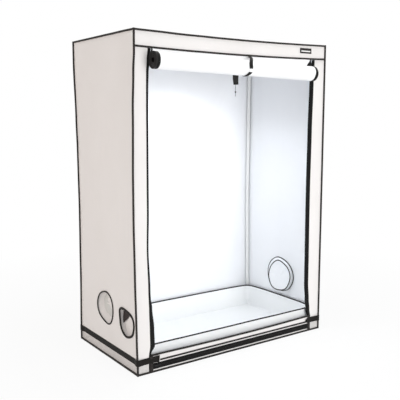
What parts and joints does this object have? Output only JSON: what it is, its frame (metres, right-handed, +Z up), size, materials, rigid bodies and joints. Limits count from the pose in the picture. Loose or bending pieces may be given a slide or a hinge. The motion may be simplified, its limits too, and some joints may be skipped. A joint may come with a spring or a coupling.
{
  "type": "indoor grow tent",
  "caption": "Indoor grow tent with a sewn cloth cover on a steel tube frame, a rolled-up front door, duct sleeves low in its sides and a loose floor tray.",
  "frame": {"origin": "centre of the cover's underside, on the surface that the tent stands on", "axes": "+Z up; -Y out of the doorway at the front; +X to the right side as seen from the front"},
  "size_m": [1.5036, 0.907, 2],
  "materials": {
    "cover_cloth": "white coated polyester cloth, satin",
    "door_cloth": "white coated polyester cloth, satin",
    "sleeve_cloth": "white coated polyester cloth, satin",
    "tray_cloth": "white coated waterproof cloth, satin",
    "seam_binding": "black woven binding tape, matt",
    "webbing": "black woven webbing, matt",
    "zip_tape": "black knitted zip tape, matt",
    "zip_metal": "black lacquered zinc, satin",
    "tube_steel": "white powder-coated steel, satin",
    "corner_plastic": "white moulded plastic, matt",
    "label": "bare woven patch, matt",
    "cord": "black cord, matt"
  },
  "bodies": {
    "tent": {"left_wall": "cover_cloth", "right_wall": "cover_cloth", "back_wall": "cover_cloth", "roof_panel": "cover_cloth", "floor_panel": "cover_cloth", "front_left_panel": "cover_cloth", "front_right_panel": "cover_cloth", "front_header": "cover_cloth", "front_sill": "cover_cloth", "seam_binding": "seam_binding", "sill_binding": "seam_binding", "girth_band": "webbing", "zip_tape_left": "zip_tape", "zip_tape_right": "zip_tape", "zip_tape_bottom": "zip_tape", "door_roll": "door_cloth", "door_tape_left": "zip_tape", "door_tape_right": "zip_tape", "tie_strap_rear": "webbing", "header_label": "label", "port_ring_left_rear": "seam_binding", "port_ring_left_front": "seam_binding", "port_ring_right": "seam_binding", "port_sleeve_left_rear": "sleeve_cloth", "port_sleeve_left_front": "sleeve_cloth", "port_sleeve_right": "sleeve_cloth", "sleeve_rim_right": "seam_binding", "upright_front_left": "tube_steel", "upright_back_left": "tube_steel", "upright_front_right": "tube_steel", "upright_back_right": "tube_steel", "long_rail_bottom_front": "tube_steel", "long_rail_bottom_back": "tube_steel", "long_rail_top_front": "tube_steel", "long_rail_top_back": "tube_steel", "short_rail_bottom_left": "tube_steel", "short_rail_bottom_right": "tube_steel", "short_rail_top_left": "tube_steel", "short_rail_top_right": "tube_steel", "corner_bottom_front_left": "corner_plastic", "corner_bottom_front_right": "corner_plastic", "corner_bottom_back_left": "corner_plastic", "corner_bottom_back_right": "corner_plastic", "corner_top_front_left": "corner_plastic", "corner_top_front_right": "corner_plastic", "corner_top_back_left": "corner_plastic", "corner_top_back_right": "corner_plastic"},
    "tray": {"floor_tray": "tray_cloth", "tray_binding": "seam_binding"},
    "left_slider": {"zip_slider_left": "zip_metal"},
    "left_pull": {"zip_pull_left": "zip_metal"},
    "right_slider": {"zip_slider_right": "zip_metal"},
    "right_pull": {"zip_pull_right": "zip_metal"},
    "bottom_slider": {"zip_slider_bottom": "zip_metal"},
    "bottom_pull": {"zip_pull_bottom": "zip_metal"},
    "door_strap": {"tie_strap_front": "webbing"},
    "left_bar": {"roof_bar_left": "tube_steel"},
    "right_bar": {"roof_bar_right": "tube_steel"},
    "hanger": {"hanger_strap": "webbing", "hanger_cord": "cord"}
  },
  "joints": [
    {"name": "tray_lift", "type": "slide", "parent": "tent", "child": "tray", "axis": [0, 0, 1], "range_m": [0, 0.027]},
    {"name": "left_zip", "type": "slide", "parent": "tent", "child": "left_slider", "axis": [0, 0, -1], "range_m": [0, 1.815]},
    {"name": "left_zip_pull", "type": "hinge", "parent": "left_slider", "child": "left_pull", "pos_m": [-0.6489, -0.3767, 1.8817], "axis": [0, -1, 0], "range_deg": [0, 150]},
    {"name": "right_zip", "type": "slide", "parent": "tent", "child": "right_slider", "axis": [0, 0, -1], "range_m": [0, 1.815]},
    {"name": "right_zip_pull", "type": "hinge", "parent": "right_slider", "child": "right_pull", "pos_m": [0.6489, -0.3767, 1.8817], "axis": [0, 1, 0], "range_deg": [0, 150]},
    {"name": "bottom_zip", "type": "slide", "parent": "tent", "child": "bottom_slider", "axis": [1, 0, 0], "range_m": [0, 1.225]},
    {"name": "bottom_zip_pull", "type": "hinge", "parent": "bottom_slider", "child": "bottom_pull", "pos_m": [-0.6025, -0.3987, 0.0403], "axis": [0, 0, 1], "range_deg": [0, 150]},
    {"name": "door_strap_swing", "type": "hinge", "parent": "tent", "child": "door_strap", "pos_m": [0.078, -0.40105, 1.901], "axis": [-1, 0, 0], "range_deg": [0, 100]},
    {"name": "left_bar_slide", "type": "slide", "parent": "tent", "child": "left_bar", "axis": [1, 0, 0], "range_m": [-0.35, 0.2]},
    {"name": "right_bar_slide", "type": "slide", "parent": "tent", "child": "right_bar", "axis": [1, 0, 0], "range_m": [-0.2, 0.35]},
    {"name": "hanger_slide", "type": "slide", "parent": "right_bar", "child": "hanger", "axis": [0, 1, 0], "range_m": [-0.25, 0.25]}
  ]
}
